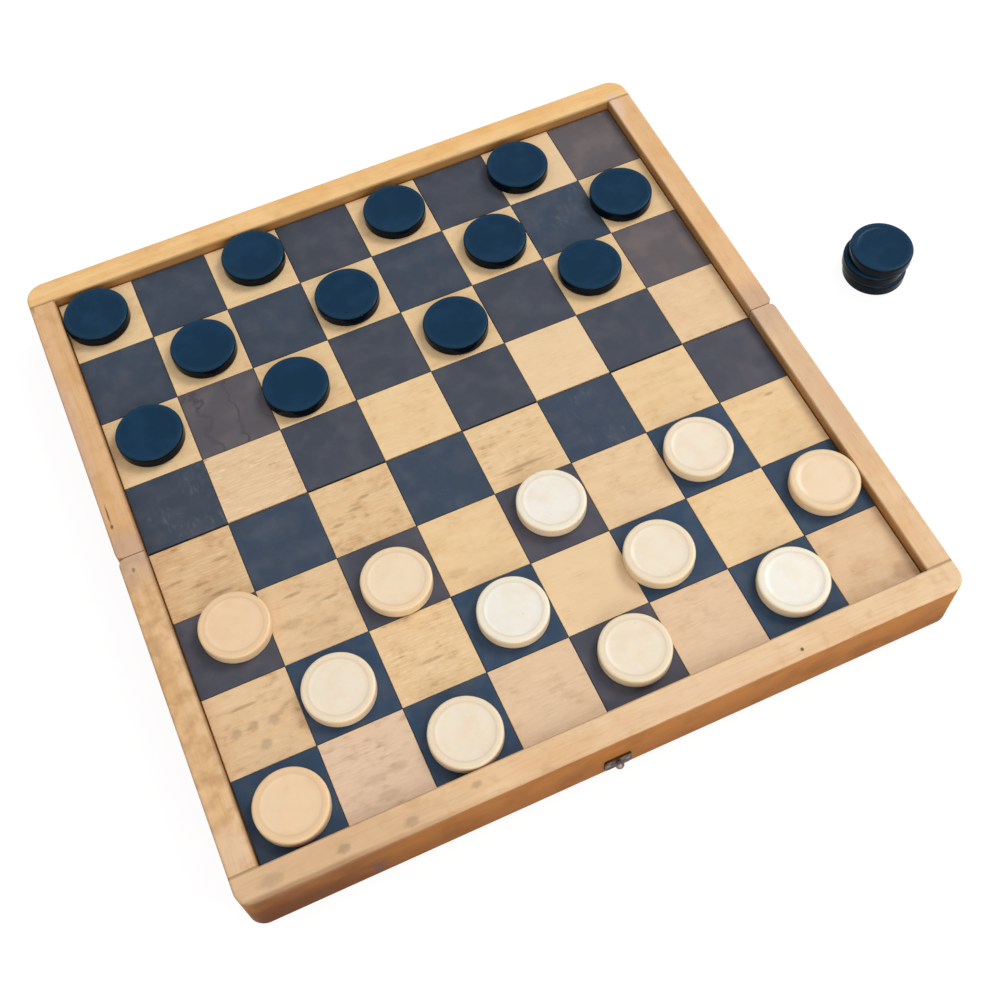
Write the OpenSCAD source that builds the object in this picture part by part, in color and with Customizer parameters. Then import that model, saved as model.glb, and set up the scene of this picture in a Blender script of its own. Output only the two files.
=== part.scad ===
// Folding travel checkers board. Two shallow wooden trays are hinged rim to rim, so that they fold
// downwards into a box that holds the pieces. Opened flat, the backs of the trays make the playing
// surface, let in between raised rails. It is shown set for a game, with three spare pieces beside it.
//
// X runs along the fold, Y from the front half to the back half and Z up from the table. The origin is
// on the table, under the middle of the whole set. Each half is drawn as the back half and mirrored.

/* [Playing surface] */
// Width of a full square, measured along the fold
square_w = 30.7; // [28:0.1:34]
// Length of a full square, measured away from the fold
square_l = 31.1; // [28:0.1:34]
// Width of the trimmed squares beside the side rails
edge_square_w = 29.8; // [28:0.1:34]
// Length of the sawn squares at the fold
fold_square_l = 29.7; // [28:0.1:34]
// How far the grid stands to the right of the frame's middle
grid_shift = 0.7; // [-1:0.1:1]
// Thickness of the squares
tile_t = 1.6; // [1:0.1:2.4]
// Width of the joint between neighbouring squares
tile_joint = 0.2; // [0.1:0.05:0.6]
// Gap between the squares and the rails, and between the squares and the fold
tile_edge_gap = 0.4; // [0.2:0.05:0.8]
// Thickness of the board that the squares are glued to
ply_t = 3; // [2:0.1:4]
// Depth of the playing surface under the rails' top
recess = 4.3; // [3:0.1:6]

/* [Trays] */
// Height of one tray, from its rim to the top of its rails
box_h = 25.4; // [22:0.2:34]
// Width of the side rails
side_rail_w = 10.1; // [8:0.1:14]
// Width of the end rails
end_rail_w = 10.6; // [8:0.1:14]
// Width of the hidden rails at the fold
fold_rail_w = 9.4; // [9:0.1:14]
// Gap between the two halves when the board lies open
fold_gap = 0.4; // [0.2:0.05:0.8]
// Depth of the groove in the rails that holds the board
groove_d = 3; // [2:0.1:5]
// Play between the board's edge and the bottom of its groove
groove_play = 0.2; // [0.1:0.05:0.5]
// Radius of the front half's outer corners, seen from above
front_corner_r = 6; // [4:0.5:10]
// Radius of the back half's outer corners, seen from above
back_corner_r = 7.5; // [4:0.5:10]
// Radius of the side rails' corners at the fold, seen from above
fold_corner_r = 3; // [1:0.1:4]
// Radius of the rails' outer top edges
edge_r = 1; // [0.4:0.1:2]
// Radius of the rails' inner top edges
inner_edge_r = 0.5; // [0.2:0.1:1]

/* [Corner dowels] */
// Diameter of the hidden dowels that hold the corners
dowel_d = 4; // [3:0.5:5]
// Length of a dowel, half of it in each rail
dowel_l = 15; // [10:1:18]
// Height of the lower dowel of each corner above the rim
dowel_low = 5; // [3.5:0.5:6]
// Distance between the two dowels of a corner
dowel_step = 7; // [6:0.5:8]

/* [Hinges] */
// Distance of each hinge from the middle of the fold
hinge_x = 72; // [40:1:95]
// Length of a hinge along the fold
leaf_l = 25; // [20:1:32]
// Width of a leaf, from the pin to its far edge
leaf_w = 8; // [6.5:0.1:8.4]
// Thickness of the leaves
leaf_t = 0.8; // [0.6:0.05:1]
// Number of knuckles on a hinge
knuckles = 5; // [3:2:7]
// Gap between neighbouring knuckles
knuckle_gap = 0.15; // [0.1:0.05:0.3]
// Diameter of the knuckles
knuckle_d = 2.2; // [2:0.05:3]
// Diameter of the hinge pins
hinge_pin_d = 1; // [0.8:0.05:1.2]
// Running clearance round a pin, all the way round
pin_play = 0.05; // [0.02:0.01:0.09]
// How far the pin's middle lies under the rims, which is half the gap of the closed box
pin_drop = 0.1; // [0.05:0.05:0.2]
// Clearance between a hinge and the wood round it
hinge_play = 0.15; // [0.1:0.05:0.3]
// Distance between a leaf's two screws
screw_step = 14; // [10:0.5:18]
// Distance of the screws from the leaf's far edge
screw_inset = 3; // [2.4:0.1:3.4]

/* [Screws] */
// Play round a nail, screw or rivet in its hole
pilot_play = 0.05; // [0.02:0.01:0.1]
// Diameter of the screws' shanks
screw_d = 1.5; // [1.2:0.1:1.8]
// Diameter of the screws' countersunk heads
screw_head_d = 2.7; // [2.4:0.1:3]
// Length of the hinge screws
screw_l = 8; // [5:0.5:12]
// Width of the slot in a screw's head
screw_slot_w = 0.4; // [0.3:0.05:0.6]
// Depth of the slot in a screw's head
screw_slot_d = 0.35; // [0.2:0.05:0.5]

/* [Latch] */
// Distance of the latch from the middle of the end rails
latch_x = -1; // [-30:0.5:30]
// Width of the two latch plates
latch_plate_w = 10; // [9:0.5:14]
// Height of the two latch plates
latch_plate_h = 7.6; // [7:0.2:9]
// Thickness of the two latch plates
latch_plate_t = 0.8; // [0.6:0.05:1.2]
// Radius of the plates' corners
latch_plate_r = 1.4; // [0.6:0.1:3]
// Height of the catch stud above the rim
catch_z = 6.2; // [5:0.1:9]
// Height of the hook's rivet above the rim
pivot_z = 7.6; // [5:0.1:10]
// Diameter of the stud's neck
neck_d = 1.6; // [1.2:0.1:2]
// Diameter of the stud's round head
stud_head_d = 3.2; // [2.8:0.1:4]
// Height of the stud's domed head
stud_head_h = 1.3; // [0.8:0.1:2]
// Thickness of the hook
hook_t = 1; // [0.8:0.05:1.4]
// Clearance on each side of the hook, between the plate and the heads
hook_play = 0.1; // [0.05:0.05:0.3]
// Clearance between the hook's notch and the stud's neck
notch_play = 0.2; // [0.1:0.05:0.4]
// Width of the hook's bar
hook_bar_w = 2.8; // [2:0.1:3.6]
// Diameter of the eye round the rivet
hook_eye_d = 5.2; // [4.4:0.1:6]
// Diameter of the round end that holds the notch
hook_end_d = 6; // [5:0.1:7]
// Length of the finger tab past the round end
tab_l = 3.6; // [2:0.1:6]
// Width of the finger tab
tab_w = 2.2; // [1.6:0.1:3]
// Diameter of the rivet's shank
rivet_d = 2.1; // [1.8:0.1:2.6]
// Diameter of the rivet's domed head
rivet_head_d = 3.8; // [3.2:0.1:4.6]
// Height of the rivet's domed head
rivet_head_h = 0.9; // [0.6:0.1:1.4]
// How far the stud, the rivet and the plates' nails reach into the rail
latch_bite = 6; // [4:0.5:8]
// Diameter of the nails in the plates
nail_d = 1; // [0.8:0.1:1.2]
// Diameter of the nails' heads, which lie flush in the plates
nail_head_d = 1.8; // [1.4:0.1:2]
// Distance of the nails from the plates' side edges
nail_inset = 1.5; // [1.3:0.1:2]

/* [Checkers] */
// Diameter of a checker
checker_d = 25.4; // [20:0.2:26.4]
// Thickness of a checker
checker_t = 5.2; // [3.5:0.1:7]
// Radius of a checker's rounded edges
checker_edge_r = 0.9; // [0.5:0.1:1.7]
// Width of the raised rim on each face
checker_rim_w = 2.4; // [2:0.1:5]
// Depth of the sunk middle on each face
checker_dish = 0.4; // [0.2:0.1:1]
// Width of the slope between the rim and the sunk middle
checker_slope = 1.3; // [0.2:0.1:1.5]
// Least gap between a checker and a rail
checker_gap = 0.3; // [0.2:0.1:1]
// Unit of how far each checker was left from its place, or 0 for a set laid out with care
stray = 1; // [0:0.1:1]

/* [Spare pieces] */
// Distance of the lowest spare piece's middle from the board's right side
spare_x = 57.7; // [40:0.1:80]
// Distance of the lowest spare piece's middle behind the fold line
spare_y = 12; // [-60:0.5:60]

/* [Hidden] */
// How many checkers each player has on the board, and how many spare ones lie beside it
player_checkers = 12;
spare_checkers = 3;

// Smoothness of the round parts
$fn = 96;
// Overlap that makes cuts run clean through
cut = 1;
// A quarter of a full turn
quarter = 90;

maple = [0.89, 0.71, 0.48];
pale_maple = [0.88, 0.73, 0.52];
slate_stain = [0.26, 0.30, 0.37];
birch_ply = [0.80, 0.66, 0.47];
beech = [0.78, 0.58, 0.38];
old_brass = [0.55, 0.47, 0.36];
old_steel = [0.46, 0.43, 0.42];
navy_black = [0.09, 0.16, 0.23];
ivory = [0.93, 0.87, 0.77];

// Rows of squares on a half, and columns on the board
rows = 4;
columns = 8;

// The pin's middle is one knuckle radius above the table, and the rims are just above it
pin_z = knuckle_d / 2;
rim_z = pin_z + pin_drop;
top_z = rim_z + box_h;
surface_z = top_z - recess;
ply_top_z = surface_z - tile_t;
ply_under_z = ply_top_z - ply_t;

inner_w = (columns - 2) * square_w + 2 * edge_square_w;
inner_x = inner_w / 2;
board_w = inner_w + 2 * side_rail_w;
outer_x = board_w / 2;
fold_y = fold_gap / 2;
inner_y = fold_y + fold_square_l + (rows - 1) * square_l;
half_d = inner_y + end_rail_w;

// How far each spare piece, from the lowest up, strays from the lowest one, to the right and back
spare_places = [[0, 0], [-0.9, 0.5], [0.8, 0]];

// The set is centred on the origin, from the board's left side to the spare pieces' right side
spare_reach = outer_x + spare_x + stray * max([for (p = spare_places) p[0]]) + checker_d / 2;
board_x = (outer_x - spare_reach) / 2;

// The hook lies one plate and one clearance off the rail, and the heads hold it there
hook_off = latch_plate_t + hook_play;
head_off = hook_off + hook_t + hook_play;
hook_reach = pivot_z + catch_z + 2 * pin_drop;

// The grid's lines: across the board, and away from the fold
function line_x(i) =
    i == 0 ? -inner_x : i == columns ? inner_x : grid_shift + (i - columns / 2) * square_w;
function line_y(j) = j == 0 ? fold_y : inner_y - (rows - j) * square_l;

// Each checker stands in a column, counted from the left, and a row, counted from the fold. The last
// two numbers are how far it strays from its square's middle, to the right and to the back.
black_places = [
    [0, 3, -2, 1.3], [2, 3, 2.3, 2.2], [4, 3, 1.2, -0.2], [6, 3, -5.2, -0.3],
    [1, 2, 0.9, -0.6], [3, 2, -1.3, -1.5], [5, 2, 1.2, -1.1], [7, 2, -3.3, -1.1],
    [0, 1, 0.9, 1.2], [2, 1, -3.5, -1.9], [4, 1, 1.1, -1.6], [6, 1, -1.3, 1.5]];
white_places = [
    [0, 1, 4.6, 4.1], [2, 1, 0.3, -3.4], [4, 1, 1, 2.1], [6, 1, -2.5, -0.4],
    [1, 2, -1.6, -1.3], [3, 2, 1.6, -0.1], [5, 2, -4.4, -1.4], [7, 2, 2.7, -0.9],
    [0, 3, 0.9, -1.4], [2, 3, 0, -2.6], [4, 3, 2.3, 0.8], [6, 3, 1.6, 0.5]];

// Puts the board, drawn about its own middle, in its place in the set
module place() translate([board_x, 0, 0]) children();

// Turns a piece that is drawn on the back half into the front half's
module front() mirror([0, 1, 0]) children();

// What a rounded corner loses: the corner of a square outside a quarter circle about the origin
module corner_waste(r) {
    difference() {
        square(r + cut);
        circle(r);
    }
}

// A flat plate with rounded corners, centred on the origin
module rounded_plate(w, h, r) {
    square([w - 2 * r, h], center = true);
    square([w, h - 2 * r], center = true);
    for (x = [-1, 1], y = [-1, 1]) translate([x * (w / 2 - r), y * (h / 2 - r)]) circle(r);
}

// A low dome that stands on a flat disc, along +Z
module dome(d, h) {
    r = (d * d / 4 + h * h) / (2 * h);
    rotate_extrude() intersection() {
        translate([0, h - r]) circle(r);
        square([r, h + cut]);
    }
}

// What a long rounded edge loses, for an edge along +X from the origin that points to +Y and +Z
module edge_waste(l, r) {
    translate([0, -r, -r]) rotate([quarter, 0, quarter]) linear_extrude(l) corner_waste(r);
}

// The dowels of the back half's right corner
module corner_dowels() {
    for (k = [0, 1])
        translate([inner_x + side_rail_w / 2, inner_y, rim_z + dowel_low + k * dowel_step])
            rotate([quarter, 0, 0]) cylinder(d = dowel_d, h = dowel_l, center = true);
}

// The groove that holds the board, as the board and its play
module groove() {
    reach = inner_x + groove_d;
    translate([-reach, fold_y - cut, ply_under_z])
        cube([2 * reach, inner_y + groove_d - fold_y + cut, ply_t]);
}

// A side rail of the back half, on the right
module side_rail() {
    rail_l = inner_y - fold_y;
    difference() {
        translate([inner_x, fold_y, rim_z]) cube([side_rail_w, rail_l, box_h]);
        translate([outer_x, inner_y, top_z]) rotate(-quarter) edge_waste(rail_l + cut, edge_r);
        translate([inner_x, fold_y - cut, top_z]) rotate(quarter)
            edge_waste(rail_l + cut, inner_edge_r);
        groove();
        translate([outer_x - fold_corner_r, fold_y + fold_corner_r, rim_z - cut])
            linear_extrude(box_h + 2 * cut) mirror([0, 1]) corner_waste(fold_corner_r);
        corner_dowels();
    }
}

// The end rail of the back half, with its outer corners rounded by corner_r and no latch holes
module end_rail(corner_r) {
    difference() {
        translate([-outer_x, inner_y, rim_z]) cube([board_w, end_rail_w, box_h]);
        translate([-outer_x, half_d, top_z]) edge_waste(board_w, edge_r);
        translate([inner_x, inner_y, top_z]) rotate(2 * quarter) edge_waste(inner_w, inner_edge_r);
        for (side = [0, 1]) mirror([side, 0, 0]) {
            translate([outer_x, half_d, top_z]) rotate(-quarter) edge_waste(end_rail_w, edge_r);
            translate([outer_x - corner_r, half_d - corner_r, rim_z - cut])
                linear_extrude(box_h + 2 * cut) corner_waste(corner_r);
            translate([outer_x - corner_r, half_d - corner_r, top_z - edge_r])
                rotate_extrude(angle = quarter) translate([corner_r - edge_r, 0])
                    corner_waste(edge_r);
            corner_dowels();
        }
        groove();
    }
}

// Holes for a latch plate's nails and for the round shank in its middle, from the rail's face inwards
module latch_holes(z, shank_d) {
    translate([latch_x, half_d + cut, rim_z + z]) rotate([quarter, 0, 0]) {
        cylinder(d = shank_d + 2 * pilot_play, h = latch_bite + cut);
        at_nails() cylinder(d = nail_d + 2 * pilot_play, h = latch_bite + cut);
    }
}

module front_end_rail() {
    color(maple) place() front() difference() {
        end_rail(front_corner_r);
        latch_holes(catch_z, neck_d);
    }
}

module back_end_rail() {
    color(maple) place() difference() {
        end_rail(back_corner_r);
        latch_holes(pivot_z, rivet_d);
    }
}

module front_left_rail() color(maple) place() front() mirror([1, 0, 0]) side_rail();

module front_right_rail() color(maple) place() front() side_rail();

module back_left_rail() color(maple) place() mirror([1, 0, 0]) side_rail();

module back_right_rail() color(maple) place() side_rail();

// The four places of a half's hinge screws, from the outer face of the leaf into the wood
module at_hinge_screws() {
    for (side = [-1, 1], step = [-1, 1])
        translate([side * hinge_x + step * screw_step / 2, leaf_w - screw_inset, rim_z]) children();
}

// The hidden rail at the fold, with the mortises for the leaves and room for the knuckles
module fold_rail() {
    difference() {
        translate([-inner_x, fold_y, rim_z]) cube([inner_w, fold_rail_w, ply_under_z - rim_z]);
        for (side = [-1, 1]) translate([side * hinge_x - leaf_l / 2 - hinge_play, 0, 0]) {
            translate([0, fold_y - cut, rim_z - cut])
                cube([leaf_l + 2 * hinge_play, leaf_w + hinge_play - fold_y + cut, leaf_t + cut]);
            translate([0, fold_y - cut, rim_z - cut])
                cube([leaf_l + 2 * hinge_play, knuckle_d / 2 + hinge_play - fold_y + cut,
                    knuckle_d / 2 - pin_drop + hinge_play + cut]);
        }
        at_hinge_screws() cylinder(d = screw_d + 2 * pilot_play, h = screw_l);
    }
}

module front_fold_rail() color(maple) place() front() fold_rail();

module back_fold_rail() color(maple) place() fold_rail();

// The board under the squares, held in the grooves on three sides and lying on the fold rail
module play_board() {
    reach = inner_x + groove_d - groove_play;
    translate([-reach, fold_y, ply_under_z])
        cube([2 * reach, inner_y + groove_d - groove_play - fold_y, ply_t]);
}

module front_play_board() color(birch_ply) place() front() play_board();

module back_play_board() color(birch_ply) place() play_board();

// Every second square of a half. The first one at the fold is in column start, counted from 0.
module squares(start) {
    for (i = [0 : columns - 1], j = [0 : rows - 1]) if ((i + j) % 2 == start) {
        left = line_x(i) + (i == 0 ? tile_edge_gap : tile_joint / 2);
        right = line_x(i + 1) - (i == columns - 1 ? tile_edge_gap : tile_joint / 2);
        near = line_y(j) + (j == 0 ? tile_edge_gap - fold_y : tile_joint / 2);
        far = line_y(j + 1) - (j == rows - 1 ? tile_edge_gap : tile_joint / 2);
        translate([left, near, ply_top_z]) cube([right - left, far - near, tile_t]);
    }
}

module front_dark_squares() color(slate_stain) place() front() squares(1);

module front_light_squares() color(pale_maple) place() front() squares(0);

module back_dark_squares() color(slate_stain) place() squares(0);

module back_light_squares() color(pale_maple) place() squares(1);

// The four dowels of a half's two corners
module dowels() {
    for (side = [0, 1]) mirror([side, 0, 0]) corner_dowels();
}

module front_corner_dowels() color(beech) place() front() dowels();

module back_corner_dowels() color(beech) place() dowels();

// A hinge leaf about its own middle, let into the rail at +Y. It owns every second knuckle, from own on.
module hinge_leaf(own) {
    step = leaf_l / knuckles;
    bore_d = hinge_pin_d + 2 * pin_play;
    difference() {
        union() {
            for (k = [0 : knuckles - 1]) if (k % 2 == own)
                translate([-leaf_l / 2 + k * step + knuckle_gap / 2, 0, 0]) {
                    translate([0, 0, pin_z]) rotate([0, quarter, 0])
                        cylinder(d = knuckle_d, h = step - knuckle_gap);
                    translate([0, 0, rim_z]) cube([step - knuckle_gap, leaf_w, leaf_t]);
                }
            translate([-leaf_l / 2, knuckle_d / 2 + hinge_play, rim_z])
                cube([leaf_l, leaf_w - knuckle_d / 2 - hinge_play, leaf_t]);
        }
        translate([-leaf_l / 2 - cut, 0, pin_z]) rotate([0, quarter, 0])
            cylinder(d = bore_d, h = leaf_l + 2 * cut);
        for (x = [-1, 1]) translate([x * screw_step / 2, leaf_w - screw_inset, rim_z]) {
            screw_head(pilot_play);
            translate([0, 0, -cut]) cylinder(d = screw_head_d + 2 * pilot_play, h = cut);
            cylinder(d = screw_d + 2 * pilot_play, h = leaf_t + cut);
        }
    }
}

// A countersunk head, its flat face at 0 and its point upwards, with play all round
module screw_head(play) {
    head_h = (screw_head_d - screw_d) / 2;
    cylinder(d1 = screw_head_d + 2 * play, d2 = screw_d + 2 * play, h = head_h);
}

module left_hinge_front_leaf()
    color(old_brass) place() translate([-hinge_x, 0, 0]) front() hinge_leaf(0);

module right_hinge_front_leaf()
    color(old_brass) place() translate([hinge_x, 0, 0]) front() hinge_leaf(0);

module left_hinge_back_leaf() color(old_brass) place() translate([-hinge_x, 0, 0]) hinge_leaf(1);

module right_hinge_back_leaf() color(old_brass) place() translate([hinge_x, 0, 0]) hinge_leaf(1);

// A hinge pin, as long as its knuckles
module hinge_pin(side) {
    color(old_steel) place()
        translate([side * hinge_x - leaf_l / 2 + knuckle_gap / 2, 0, pin_z]) rotate([0, quarter, 0])
            cylinder(d = hinge_pin_d, h = leaf_l - knuckle_gap);
}

module left_hinge_pin() hinge_pin(-1);

module right_hinge_pin() hinge_pin(1);

// A half's hinge screws, slotted
module hinge_screws() {
    at_hinge_screws() difference() {
        union() {
            screw_head(0);
            cylinder(d = screw_d, h = screw_l - pilot_play);
        }
        translate([-screw_head_d / 2, -screw_slot_w / 2, -cut])
            cube([screw_head_d, screw_slot_w, screw_slot_d + cut]);
    }
}

module front_hinge_screws() color(old_steel) place() front() hinge_screws();

module back_hinge_screws() color(old_steel) place() hinge_screws();

// Where a latch part is fixed on the back half's end, its +Z pointing out of the rail
module at_latch(z) translate([latch_x, half_d, rim_z + z]) rotate([-quarter, 0, 0]) children();

// A latch plate, with flush nail holes and a hole for the shank in its middle
module latch_plate(shank_d) {
    difference() {
        linear_extrude(latch_plate_t) rounded_plate(latch_plate_w, latch_plate_h, latch_plate_r);
        translate([0, 0, -cut]) cylinder(d = shank_d + 2 * pilot_play, h = latch_plate_t + 2 * cut);
        at_nails() nail(pilot_play, cut);
    }
}

// The two nails of a plate, pointing out of the rail
module at_nails() {
    for (x = [-1, 1]) translate([x * (latch_plate_w / 2 - nail_inset), 0, 0]) children();
}

// A nail through the plate: its countersunk head ends flush with the plate's outer face, plus extra
module nail(play, extra) {
    head_h = (nail_head_d - nail_d) / 2;
    translate([0, 0, -latch_bite + pilot_play])
        cylinder(d = nail_d + 2 * play, h = latch_bite + latch_plate_t - pilot_play);
    translate([0, 0, latch_plate_t - head_h])
        cylinder(d1 = nail_d + 2 * play, d2 = nail_head_d + 2 * play, h = head_h);
    if (extra > 0) translate([0, 0, latch_plate_t]) cylinder(d = nail_head_d + 2 * play, h = extra);
}

module catch_plate() color(old_brass) place() front() at_latch(catch_z) latch_plate(neck_d);

module catch_plate_nails() color(old_steel) place() front() at_latch(catch_z) at_nails() nail(0, 0);

module hook_plate() color(old_brass) place() at_latch(pivot_z) latch_plate(rivet_d);

module hook_plate_nails() color(old_steel) place() at_latch(pivot_z) at_nails() nail(0, 0);

// A headed shank that is driven through its plate into the rail
module headed_shank(shank_d, head_d, head_h) {
    translate([0, 0, -latch_bite + pilot_play])
        cylinder(d = shank_d, h = latch_bite + head_off - pilot_play);
    translate([0, 0, head_off]) dome(head_d, head_h);
}

module catch_stud()
    color(old_brass) place() front() at_latch(catch_z) headed_shank(neck_d, stud_head_d, stud_head_h);

module hook_rivet()
    color(old_brass) place() at_latch(pivot_z) headed_shank(rivet_d, rivet_head_d, rivet_head_h);

// Outline of the hook, its eye at the origin and its bar along +X. It turns towards -Y to close, so its
// notch is a slot on an arc about the eye, open on that side, with the stud's seat at its end.
module hook_outline() {
    slot_r = neck_d / 2 + notch_play;
    difference() {
        union() {
            circle(d = hook_eye_d);
            translate([0, -hook_bar_w / 2]) square([hook_reach, hook_bar_w]);
            translate([hook_reach, 0]) circle(d = hook_end_d);
            translate([hook_reach, -tab_w / 2]) square([hook_end_d / 2 + tab_l, tab_w]);
            translate([hook_reach + hook_end_d / 2 + tab_l, 0]) circle(d = tab_w);
        }
        circle(d = rivet_d + 2 * pin_play);
        translate([hook_reach, 0]) circle(slot_r);
        intersection() {
            difference() {
                circle(hook_reach + slot_r);
                circle(hook_reach - slot_r);
            }
            translate([hook_reach - hook_end_d, -hook_end_d]) square([2 * hook_end_d, hook_end_d]);
        }
    }
}

// The hook lies along the end rail, out of the way, while the board is open
module latch_hook() {
    color(old_brass) place() translate([latch_x, half_d + hook_off, rim_z + pivot_z])
        rotate([-quarter, 0, 0]) linear_extrude(hook_t) mirror([0, 1]) hook_outline();
}

// Section of the sunk middle of a checker's face, its floor at y = 0, open upwards
module dish_section() {
    dish_r = checker_d / 2 - checker_rim_w;
    polygon([[-cut, 0], [dish_r - checker_slope, 0], [dish_r, checker_dish],
        [dish_r, checker_dish + cut], [-cut, checker_dish + cut]]);
}

// A checker on the plane z = 0: rounded edges, a raised rim and a sunk middle on both faces
module checker() {
    r = checker_d / 2;
    rotate_extrude() difference() {
        union() {
            square([r - checker_edge_r, checker_t]);
            translate([0, checker_edge_r]) square([r, checker_t - 2 * checker_edge_r]);
            for (z = [checker_edge_r, checker_t - checker_edge_r])
                translate([r - checker_edge_r, z]) circle(checker_edge_r);
        }
        translate([0, checker_t - checker_dish]) dish_section();
        translate([0, checker_dish]) mirror([0, 1]) dish_section();
    }
}

// The place of a checker's middle along one axis, kept clear of the walls that stand there
function clear_of(v, wall) =
    let (limit = wall - checker_d / 2 - checker_gap) max(-limit, min(limit, v));

// A checker on its square, side being 1 on the back half and -1 on the front half
module standing_checker(place, side) {
    x = (line_x(place[0]) + line_x(place[0] + 1)) / 2 + stray * place[2];
    y = side * (line_y(place[1]) + line_y(place[1] + 1)) / 2 + stray * place[3];
    place() translate([clear_of(x, inner_x), clear_of(y, inner_y), surface_z]) checker();
}

module black_checker(k) color(navy_black) standing_checker(black_places[k - 1], 1);

module white_checker(k) color(ivory) standing_checker(white_places[k - 1], -1);

// The spare pieces are piled on the table beside the board
module spare_checker(k) {
    lean = stray * spare_places[k - 1];
    color(navy_black) place()
        translate([outer_x + spare_x + lean[0], spare_y + lean[1], (k - 1) * checker_t]) checker();
}

front_end_rail();
front_left_rail();
front_right_rail();
front_fold_rail();
front_play_board();
front_dark_squares();
front_light_squares();
front_corner_dowels();
left_hinge_front_leaf();
right_hinge_front_leaf();
left_hinge_pin();
right_hinge_pin();
front_hinge_screws();
catch_plate();
catch_stud();
catch_plate_nails();
back_end_rail();
back_left_rail();
back_right_rail();
back_fold_rail();
back_play_board();
back_dark_squares();
back_light_squares();
back_corner_dowels();
left_hinge_back_leaf();
right_hinge_back_leaf();
back_hinge_screws();
hook_plate();
hook_plate_nails();
hook_rivet();
latch_hook();
for (k = [1 : player_checkers]) black_checker(k);
for (k = [1 : player_checkers]) white_checker(k);
for (k = [1 : spare_checkers]) spare_checker(k);
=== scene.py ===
"""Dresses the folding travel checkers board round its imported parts, and stands it in a plain studio.

Two shallow wooden trays lie open side by side with their backs up, and carry the playing surface.
Lengths are in metres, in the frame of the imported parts: X along the fold, Y from the front half to the
back half, and Z up from the table.
"""

import logging
import math
import random
from dataclasses import dataclass
from enum import Enum
from typing import Any

import bmesh
import bpy
from bmesh.types import BMEdge, BMesh
from bpy.types import Material, Node, NodeSocket, NodeTree, Object
from mathutils import Matrix, Quaternion, Vector


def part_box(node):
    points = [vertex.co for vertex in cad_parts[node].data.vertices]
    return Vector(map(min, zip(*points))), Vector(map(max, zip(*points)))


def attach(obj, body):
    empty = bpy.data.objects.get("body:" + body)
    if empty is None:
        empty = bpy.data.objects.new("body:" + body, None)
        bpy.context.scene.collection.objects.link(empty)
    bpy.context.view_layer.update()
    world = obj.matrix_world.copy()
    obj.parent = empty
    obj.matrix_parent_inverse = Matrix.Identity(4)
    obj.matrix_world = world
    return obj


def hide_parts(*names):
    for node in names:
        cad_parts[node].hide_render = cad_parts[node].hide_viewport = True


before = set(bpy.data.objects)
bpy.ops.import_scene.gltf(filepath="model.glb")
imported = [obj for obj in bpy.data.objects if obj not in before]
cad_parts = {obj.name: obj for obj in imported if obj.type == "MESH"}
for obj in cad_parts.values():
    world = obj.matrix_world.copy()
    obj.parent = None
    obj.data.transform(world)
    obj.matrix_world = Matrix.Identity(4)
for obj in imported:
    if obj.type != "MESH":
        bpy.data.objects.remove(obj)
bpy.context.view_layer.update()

Colour = tuple[float, float, float, float]
Point = tuple[float, float, float]

log = logging.getLogger("checkers_board")

HALVES = ("front", "back")

# The middle of the board, and the heights of the rails' top and of the playing surface
rail_low, rail_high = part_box("front_end_rail")
BOARD_X = (rail_low.x + rail_high.x) / 2
TOP_Z = rail_high.z
SURFACE_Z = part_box("front_light_squares")[1].z


def paint(red: int, green: int, blue: int) -> Colour:
    """Turns a paint colour into linear light.

    Args:
        red: The red part, from 0 to 255.
        green: The green part, from 0 to 255.
        blue: The blue part, from 0 to 255.

    Returns:
        The colour in linear light, with full cover as its fourth number.
    """
    parts = [part / 255 for part in (red, green, blue)]
    linear = [p / 12.92 if p <= 0.04045 else ((p + 0.055) / 1.055) ** 2.4 for p in parts]
    return (*linear, 1.0)


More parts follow.
